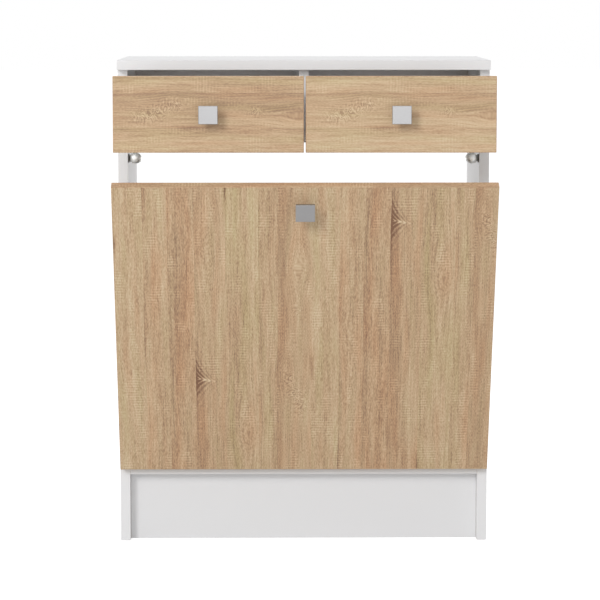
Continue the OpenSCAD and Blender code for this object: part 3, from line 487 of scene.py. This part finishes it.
def epoxy_coated_steel():
    """White epoxy powder on rolled steel. A thick soft gloss with a slight texture, and
    faint grey streaks along the tracks of the rollers."""
    material, tree, shader = finish_of("white epoxy coated steel", Roughness=0.38, IOR=1.5,
                                       Coat_Weight=0.25, Coat_Roughness=0.2)
    place = add(tree, "TexCoord").outputs["Object"]
    grit = add(tree, "TexNoise", place, Scale=900.0, Detail=2.0)
    track = add(tree, "Mapping", place, Scale=(500.0, 12.0, 500.0))
    worn = add(tree, "TexNoise", track, Scale=1.0, Detail=3.0)
    shade = add(tree, "Math", worn, 1.6, -0.5, operation="MULTIPLY_ADD", use_clamp=True)
    feed(shader, {
        "Base Color": add(tree, "Mix", shade, "#e6e6e3", "#d5d5d2", data_type="RGBA"),
        "Normal": add(tree, "Bump", Height=grit, Distance=0.00008, Strength=0.6)})
    return material


def moulded_nylon():
    """Moulded nylon. Milky white and waxy, with faint flow marks."""
    material, tree, shader = finish_of("moulded nylon", Roughness=0.45, IOR=1.53,
                                       Subsurface_Weight=0.15, Subsurface_Scale=0.002)
    place = add(tree, "TexCoord").outputs["Object"]
    flow = add(tree, "TexNoise", place, Scale=300.0, Detail=3.0)
    feed(shader, {
        "Base Color": add(tree, "Mix", flow, "#ebeae4", "#dcdbd3", data_type="RGBA"),
        "Normal": add(tree, "Bump", Height=flow, Distance=0.00005, Strength=0.5)})
    return material


def dark_moulded_plastic():
    """Dark ABS. Spark eroded mould texture: a dull dark grey with a fine grit."""
    material, tree, shader = finish_of("dark moulded plastic", Roughness=0.55, IOR=1.53)
    place = add(tree, "TexCoord").outputs["Object"]
    spark = add(tree, "TexNoise", place, Scale=1400.0, Detail=2.0)
    feed(shader, {
        "Base Color": add(tree, "Mix", spark, "#62605c", "#706e69", data_type="RGBA"),
        "Normal": add(tree, "Bump", Height=spark, Distance=0.00005, Strength=0.7)})
    return material


MELAMINE = white_melamine("white melamine foil")
WHITE_BAND = white_melamine("white edge band", "#eeeeef", 0.34)
CHIPBOARD = raw_chipboard()
LACQUER = lacquered_hardboard()
NICKEL = satin_nickel()
CHROME = satin_chrome()
ZINC = bright_zinc()
COATED = epoxy_coated_steel()
NYLON = moulded_nylon()
DARK = dark_moulded_plastic()
BEECH = fluted_beech()

# The door's decor runs up the tipped door, and its shift brings the print's knot to its
# place on the door. Its bands read the print elsewhere, along their own edges.
CLOSE = (Matrix.Rotation(-TIP_ANGLE, 3, "X") @ -HINGE_LINE)
DOOR_PALE = 0.03
DOOR_OAK = rough_sawn_oak("rough sawn oak foil, door", (-TIP_ANGLE, 0, 0),
                          CLOSE + Vector((-0.1341, 0.0, -0.456)), pale=DOOR_PALE)
DOOR_BAND_ACROSS = rough_sawn_oak("oak edge band, across the door", (0, math.pi / 2, 0),
                                  (0.31, 0.2, 0.7), pale=DOOR_PALE)
DOOR_BAND_UP = rough_sawn_oak("oak edge band, up the door", (-TIP_ANGLE, 0, 0),
                              (1.37, 0.4, 0.2), pale=DOOR_PALE)
# The two drawers are cut across the same print, with its left to their top
DRAWER_MIDDLE = Vector((0.15025, 0.0, 0.7045))
DRAWER_OAK = {
    side: rough_sawn_oak(
        f"rough sawn oak foil, {side} drawer", (0, -math.pi / 2, 0),
        (DRAWER_MIDDLE.z + 0.1645, 0.0, 0.050 - sign * DRAWER_MIDDLE.x), calm=0.55,
        pale=sign * 0.045)
    for side, sign in SIDES.items()}
BAND_ACROSS = rough_sawn_oak("oak edge band, across the drawers", (0, math.pi / 2, 0),
                             (0.11, 0.6, 0.3), pale=0.04)
BAND_UP = rough_sawn_oak("oak edge band, up the drawers", (0, 0, 0), (0.9, 0.3, 0.1))


# Modelling by hand, in code

def deselect_all():
    """Back to object mode, with nothing selected."""
    if bpy.context.mode != "OBJECT":
        bpy.ops.object.mode_set(mode="OBJECT")
    bpy.ops.object.select_all(action="DESELECT")


def take(piece):
    """Selects a piece and nothing else, in object mode."""
    deselect_all()
    piece.select_set(True)
    bpy.context.view_layer.objects.active = piece


def apply_place(piece):
    """Moves a selected piece's place, turn and size into its mesh."""
    bpy.ops.object.transform_apply(location=True, rotation=True, scale=True)
    return piece


def named(name):
    """Names the piece that was made last."""
    piece = bpy.context.object
    piece.name = piece.data.name = name
    return piece


def cube_between(name, low, high):
    """A cube primitive at its place and size."""
    deselect_all()
    low, high = Vector(low), Vector(high)
    bpy.ops.mesh.primitive_cube_add(size=1, location=(low + high) / 2)
    piece = named(name)
    piece.scale = high - low
    return apply_place(piece)


def drum(name, start, radius, length, axis, around):
    """A cylinder primitive with so many faces around, which starts at a point and runs
    along an axis."""
    deselect_all()
    turn = {"X": (0, math.pi / 2, 0), "Y": (-math.pi / 2, 0, 0), "Z": (0, 0, 0)}[axis]
    step = Vector([float(a == axis) for a in "XYZ"]) * length / 2
    bpy.ops.mesh.primitive_cylinder_add(vertices=around, radius=radius, depth=abs(length),
                                        location=Vector(start) + step, rotation=turn)
    return apply_place(named(name))


def edit(piece):
    """Opens a piece in edit mode."""
    bpy.context.view_layer.objects.active = piece
    piece.select_set(True)
    bpy.ops.object.mode_set(mode="EDIT")


def pick(piece, kind, test):
    """In edit mode, selects the faces or edges that pass the test, and nothing else."""
    bpy.ops.mesh.select_mode(type=kind)
    bpy.ops.mesh.select_all(action="DESELECT")
    mesh = bmesh.from_edit_mesh(piece.data)
    for item in (mesh.faces if kind == "FACE" else mesh.edges):
        if test(item):
            item.select_set(True)
    bmesh.update_edit_mesh(piece.data)


def sharp(edge):
    """Whether two faces meet here at more than 40 degrees."""
    return len(edge.link_faces) == 2 and edge.calc_face_angle() > math.radians(40)


def ease_edges(piece, offset, segments, test=sharp):
    """Rounds the edges that pass the test, or else all sharp ones."""
    edit(piece)
    pick(piece, "EDGE", test)
    bpy.ops.mesh.bevel(offset=offset, segments=segments, affect="EDGES")
    bpy.ops.object.mode_set(mode="OBJECT")


def join(pieces, name):
    """Makes one piece of several."""
    deselect_all()
    for piece in pieces:
        piece.select_set(True)
    bpy.context.view_layer.objects.active = pieces[0]
    bpy.ops.object.join()
    return named(name)


def tip(piece):
    """Carries a closed piece to its place on the open door."""
    take(piece)
    piece.matrix_world = TIPPED @ piece.matrix_world
    return apply_place(piece)


def round_off(piece, angle=35):
    """Smooth shading over eased edges, with the flat faces kept even."""
    take(piece)
    bpy.ops.object.shade_smooth_by_angle(angle=math.radians(angle))
    even = piece.modifiers.new("even faces", "WEIGHTED_NORMAL")
    even.keep_sharp = True
    bpy.ops.object.modifier_apply(modifier=even.name)


def coat(piece, finishes, choose=None):
    """Gives a piece its finishes, and each face the one that choose names."""
    for finish in finishes:
        piece.data.materials.append(finish)
    if choose:
        for face in piece.data.polygons:
            face.material_index = choose(face)


def settle(piece, body, replaced):
    """Says which body a piece rides on, which nodes it replaces."""
    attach(piece, body)
    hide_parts(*replaced)


# The cams' bores in the bottom panel: their places, from 1 mm below it, and their size
BORE_PLACES = [(x, y) for x in (-0.260, 0.260) for y in (0.014, 0.210)]
BORE_RADIUS, BORE_LENGTH, BORE_START = 0.0076, 0.0131, -0.001

# How far edges are eased: boards, the top, the drawers' boards, the fronts, hardboard,
# the knobs' plates and the domes' sockets
BOARD_EASE, TOP_EASE, DRAWER_EASE, FRONT_EASE = 0.0007, 0.0013, 0.0009, 0.0006
SHEET_EASE, PLATE_EASE, SOCKET_EASE = 0.0003, 0.0007, 0.0005

# The bands' frame round a front, and how far in a face of the decor lies at least
BAND_FRAME, DECOR_START = 0.001, 0.0009


def coated_board(name, low, high, raw, ease=BOARD_EASE, bores=()):
    """A board of coated chipboard with eased edge bands, and raw edges where it has
    none. Bores run up from the points that are given."""
    piece = cube_between(name, low, high)
    for n, start in enumerate(bores):
        bore = drum(f"{name}_bore_{n}", start, BORE_RADIUS, BORE_LENGTH, "Z", 32)
        take(piece)
        drilling = piece.modifiers.new("drilling", "BOOLEAN")
        drilling.operation = "DIFFERENCE"
        drilling.solver = "EXACT"
        drilling.object = bore
        bpy.ops.object.modifier_apply(modifier=drilling.name)
        bpy.data.objects.remove(bore)
    # The bores' short edges stay sharp
    ease_edges(piece, ease, 2, lambda e: sharp(e) and e.calc_length() > 0.008)
    size = Vector(high) - Vector(low)
    thin = min(range(3), key=lambda i: size[i])

    def choose(face):
        axis = max(range(3), key=lambda i: abs(face.normal[i]))
        if axis == thin:
            return 0
        return 2 if "xyz"[axis] + ("+" if face.normal[axis] > 0 else "-") in raw else 1
    coat(piece, [MELAMINE, WHITE_BAND, CHIPBOARD], choose)
    round_off(piece)
    return piece


def decor_front(name, low, high, face_oak, across_oak, up_oak):
    """A front of oak decor with 1 mm bands round its edges. The band shows as a thin
    frame, because its grain runs along the edge."""
    piece = cube_between(name, low, high)
    edit(piece)
    pick(piece, "FACE", lambda f: abs(f.normal.y) > 0.9)
    bpy.ops.mesh.inset(thickness=BAND_FRAME, use_individual=True)
    bpy.ops.object.mode_set(mode="OBJECT")
    ease_edges(piece, FRONT_EASE, 3)
    low, high = Vector(low), Vector(high)

    def choose(face):
        c = face.center
        inside = (low.x + DECOR_START < c.x < high.x - DECOR_START
                  and low.z + DECOR_START < c.z < high.z - DECOR_START)
        if inside and abs(face.normal.y) > 0.9:
            return 0
        return 1 if min(c.z - low.z, high.z - c.z) < min(c.x - low.x, high.x - c.x) else 2
    coat(piece, [face_oak, across_oak, up_oak], choose)
    round_off(piece)
    return piece


# The knob's plate by half its width and height, and how far its back and front stand out.
# The stem's foot by radius and length, and how far each step on it goes and widens.
PLATE_WIDE, PLATE_HIGH, PLATE_BACK, PLATE_FRONT = 0.015, 0.01425, 0.0185, 0.024
STEM_RADIUS, STEM_FOOT = 0.0045, 0.0015
STEM_STEPS = ((0.0012, 0.94), (0.0020, 0.95), (0.0110, 1.0), (0.0035, 1.12))


def knob(name, seat):
    """A square plate with eased edges on a turned stem with a narrow waist. The seat is
    the middle of the stem's foot, and the knob stands out towards -Y."""
    x, y, z = seat
    plate = cube_between(name, (x - PLATE_WIDE, y - PLATE_FRONT, z - PLATE_HIGH),
                         (x + PLATE_WIDE, y - PLATE_BACK, z + PLATE_HIGH))
    ease_edges(plate, PLATE_EASE, 3)
    stem = drum(name + "_stem", (x, y, z), STEM_RADIUS, -STEM_FOOT, "Y", 48)
    edit(stem)
    pick(stem, "FACE", lambda f: f.normal.y < -0.9)
    for forward, factor in STEM_STEPS:
        bpy.ops.mesh.extrude_region_move(TRANSFORM_OT_translate={"value": (0, -forward, 0)})
        bpy.ops.transform.resize(value=(factor, 1, factor))
    bpy.ops.object.mode_set(mode="OBJECT")
    piece = join([plate, stem], name)
    round_off(piece, 30)
    coat(piece, [NICKEL])
    return piece


# The case, with the sides of each board that are left raw

BOARDS = {
    "side_panel_left": ("y+", "z-"), "side_panel_right": ("y+", "z-"),
    "top_panel": ("y+",), "plinth_board": ("z-", "x+", "x-"),
    "divider_panel": ("y+",), "rear_rail_upper": ("x+", "x-", "z+"),
    "rear_rail_lower": ("x+", "x-"),
}
for node, raw in BOARDS.items():
    low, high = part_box(node)
    board = coated_board(node + "_board", low, high, raw,
                         ease=TOP_EASE if node == "top_panel" else BOARD_EASE)
    settle(board, "case", [node])

low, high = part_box("bottom_panel")
board = coated_board("bottom_panel_board", low, high, ("y+", "x+", "x-"),
                     bores=[(x, y, low.z + BORE_START) for x, y in BORE_PLACES])
settle(board, "case", ["bottom_panel"])


# The drawers

for side, sign in SIDES.items():
    body = f"{side}_drawer"
    low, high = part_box(f"{side}_drawer_front")
    panel = decor_front(f"{side}_drawer_front_panel", low, high, DRAWER_OAK[side],
                        BAND_ACROSS, BAND_UP)
    settle(panel, body, [f"{side}_drawer_front"])
    piece = knob(f"{side}_drawer_knob", ((low.x + high.x) / 2, low.y, (low.z + high.z) / 2))
    settle(piece, body, [f"{side}_drawer_handle"])
    for part in ("side_outer", "side_inner", "back"):
        node = f"{side}_drawer_{part}"
        low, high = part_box(node)
        board = coated_board(node + "_board", low, high,
                             ("y+", "z-") if part != "back" else ("z-",), ease=DRAWER_EASE)
        settle(board, body, [node])
    node = f"{side}_drawer_bottom"
    low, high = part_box(node)
    sheet = cube_between(node + "_sheet", low, high)
    ease_edges(sheet, SHEET_EASE, 1)
    coat(sheet, [LACQUER])
    settle(sheet, body, [node])


# The tilt-out door and its bin, closed

DOOR_LOW, DOOR_HIGH = (-0.299, -0.046, 0.128), (0.299, -0.030, 0.642)
DOOR_KNOB_SEAT = (0.0, -0.046, 0.608)
BIN_BACK_LOW, BIN_BACK_HIGH = (-0.272, 0.207, 0.15905), (0.272, 0.211, 0.42384)

panel = decor_front("door_panel", DOOR_LOW, DOOR_HIGH, DOOR_OAK, DOOR_BAND_ACROSS,
                    DOOR_BAND_UP)
settle(tip(panel), "laundry_bin", ["tilt_door"])
piece = knob("door_knob", DOOR_KNOB_SEAT)
settle(tip(piece), "laundry_bin", ["tilt_door_handle"])

# The catches: a chrome dome, a little longer than a ball, in a dark socket on each side
# panel. The panel's face, the dome's middle and the cut where the dome is seated are
# given from the cabinet's middle.

PANEL_FACE, DOME_MIDDLE, DOME_SEAT = 0.284, 0.284 - 0.0115, 0.2822
DOME_STRETCH, SOCKET_LENGTH = 1.16, 0.0020

ball_low, ball_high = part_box("catch_balls")
base_low, base_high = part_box("catch_bases")
middle_y, middle_z = (ball_low.y + ball_high.y) / 2, (ball_low.z + ball_high.z) / 2
domes, sockets = [], []
for sign in SIDES.values():
    deselect_all()
    bpy.ops.mesh.primitive_uv_sphere_add(segments=56, ring_count=28,
                                         radius=(ball_high.z - ball_low.z) / 2,
                                         location=(sign * DOME_MIDDLE, middle_y, middle_z),
                                         rotation=(0, math.pi / 2, 0))
    dome = named("catch_ball")
    dome.scale.z = DOME_STRETCH
    apply_place(dome)
    edit(dome)
    pick(dome, "FACE", lambda f: True)
    bpy.ops.mesh.bisect(plane_co=(sign * DOME_SEAT, 0, 0), plane_no=(sign, 0, 0),
                        use_fill=True, clear_outer=True)
    bpy.ops.object.mode_set(mode="OBJECT")
    domes.append(dome)
    socket = drum("catch_socket", (sign * PANEL_FACE, middle_y, middle_z),
                  (base_high.z - base_low.z) / 2, -sign * SOCKET_LENGTH, "X", 56)
    ease_edges(socket, SOCKET_EASE, 2)
    sockets.append(socket)
dome = join(domes, "catch_ball_pair")
round_off(dome, 30)
coat(dome, [CHROME])
settle(dome, "case", ["catch_balls"])
socket = join(sockets, "catch_socket_pair")
round_off(socket, 40)
coat(socket, [DARK])
settle(socket, "case", ["catch_bases"])

# The bin's hardboard back is lacquered inside and raw behind
sheet = cube_between("bin_back_sheet", BIN_BACK_LOW, BIN_BACK_HIGH)
ease_edges(sheet, SHEET_EASE, 1)
coat(sheet, [LACQUER, hardboard_back((-TIP_ANGLE, 0, 0))],
     lambda f: 0 if f.normal.y < -0.5 else 1)
settle(tip(sheet), "laundry_bin", ["bin_back"])


# Finishes of the part's own nodes. Those that aren't listed are white melamine.

FINISHES = {
    ZINC: ["cam_discs", "cam_bolts", "case_screws", "stop_studs", "hinge_leaves_case",
           "hinge_pins", "left_handle_screw", "left_drawer_screws", "right_handle_screw",
           "right_drawer_screws", "door_handle_screw", "bin_brackets", "strike_buttons",
           "hinge_leaves_door", "door_screws"],
    BEECH: ["case_dowels", "left_drawer_dowels", "right_drawer_dowels", "bin_dowels"],
    COATED: ["case_runner_1", "case_runner_2", "case_runner_3", "case_runner_4",
             "left_drawer_runner_outer", "left_drawer_runner_inner",
             "right_drawer_runner_outer", "right_drawer_runner_inner"],
    NYLON: ["left_front_rollers", "left_rear_rollers", "right_front_rollers",
            "right_rear_rollers"],
    DARK: ["catch_bases"],
    CHROME: ["catch_balls"],
    NICKEL: ["left_drawer_handle", "right_drawer_handle", "tilt_door_handle"],
    DOOR_OAK: ["tilt_door"],
    DRAWER_OAK["left"]: ["left_drawer_front"],
    DRAWER_OAK["right"]: ["right_drawer_front"],
    LACQUER: ["left_drawer_bottom", "right_drawer_bottom", "bin_back"],
}
finish_for = {name: finish for finish, names in FINISHES.items() for name in names}
for name, cad in nodes.items():
    finish = finish_for.get(name, MELAMINE)
    if not cad.material_slots:
        cad.data.materials.append(finish)
    for slot in cad.material_slots:
        slot.material = finish


# Floor, light and camera

# What the floor gives out by itself. With its own diffuse light, this much makes it a
# full white to the camera and in reflections.
FLOOR_SEEN, FLOOR_MIRRORED = 0.75, 0.55

# The world is a full white to the camera and in reflections, and lights by this much
WORLD_LIGHT = 0.52


def mirror_rays(tree, path):
    """1 for a ray that left metal or glass."""
    return add(tree, "Math", path.outputs["Is Glossy Ray"],
               path.outputs["Is Transmission Ray"], operation="MAXIMUM")


def studio_floor():
    """A plain white floor. It shows white to the camera and in reflections, and keeps
    the object's shadow."""
    material, tree, shader = finish_of("studio floor", Roughness=0.9,
                                       Specular_IOR_Level=0.1, Base_Color="#cccccc")
    path = add(tree, "LightPath")
    mirrored = add(tree, "Math", mirror_rays(tree, path), FLOOR_MIRRORED,
                   operation="MULTIPLY")
    strength = add(tree, "Math", path.outputs["Is Camera Ray"], FLOOR_SEEN, mirrored,
                   operation="MULTIPLY_ADD")
    both = add(tree, "AddShader", shader, add(tree, "Emission", Strength=strength))
    feed(tree.nodes["Material Output"], {"Surface": both})
    return material


deselect_all()
bpy.ops.mesh.primitive_grid_add(x_subdivisions=8, y_subdivisions=8, size=60,
                                location=(0, 0, 0))
floor = named("floor")
floor.data.materials.append(studio_floor())

world = bpy.data.worlds.new("studio")
bpy.context.scene.world = world
world.use_nodes = True
sky = world.node_tree
path = add(sky, "LightPath")
seen = add(sky, "Math", path.outputs["Is Camera Ray"], mirror_rays(sky, path),
           operation="MAXIMUM")
feed(sky.nodes["Background"], {
    "Color": "#ffffff",
    "Strength": add(sky, "Math", seen, 1.0 - WORLD_LIGHT, WORLD_LIGHT,
                    operation="MULTIPLY_ADD")})


def softbox(name, place, aim, size, power):
    """A square soft light that looks at a point."""
    light = bpy.data.lights.new(name, "AREA")
    light.shape = "SQUARE"
    light.size = size
    light.energy = power
    lamp = bpy.data.objects.new(name, light)
    bpy.context.scene.collection.objects.link(lamp)
    lamp.location = place
    lamp.rotation_euler = (Vector(aim) - Vector(place)).to_track_quat("-Z", "Y").to_euler()


softbox("key from the upper left", (-2.8, -5.1, 3.1), (0, 0, 0.45), 1.9, 150)
softbox("fill from the front", (0.15, -4.7, 1.0), (0, 0, 0.4), 2.4, 26)
softbox("light over the top", (0.0, 0.9, 2.6), (0, 0.1, 0.7), 1.6, 9)
for sign in SIDES.values():
    softbox("light from behind", (sign * 2.4, 2.0, 0.35), (0, 0.1, 0.5), 0.7, 30)

# The camera was fitted to the photograph's edges
camera = bpy.data.objects.new("camera", bpy.data.cameras.new("camera"))
bpy.context.scene.collection.objects.link(camera)
camera.data.sensor_width = 36.0
camera.data.lens = 159.71
camera.location = (-0.0481, -4.3289, 0.8794)
camera.rotation_euler = (math.radians(83.60), 0.0, math.radians(-0.56))
bpy.context.scene.camera = camera
bpy.context.scene.view_settings.view_transform = "Standard"
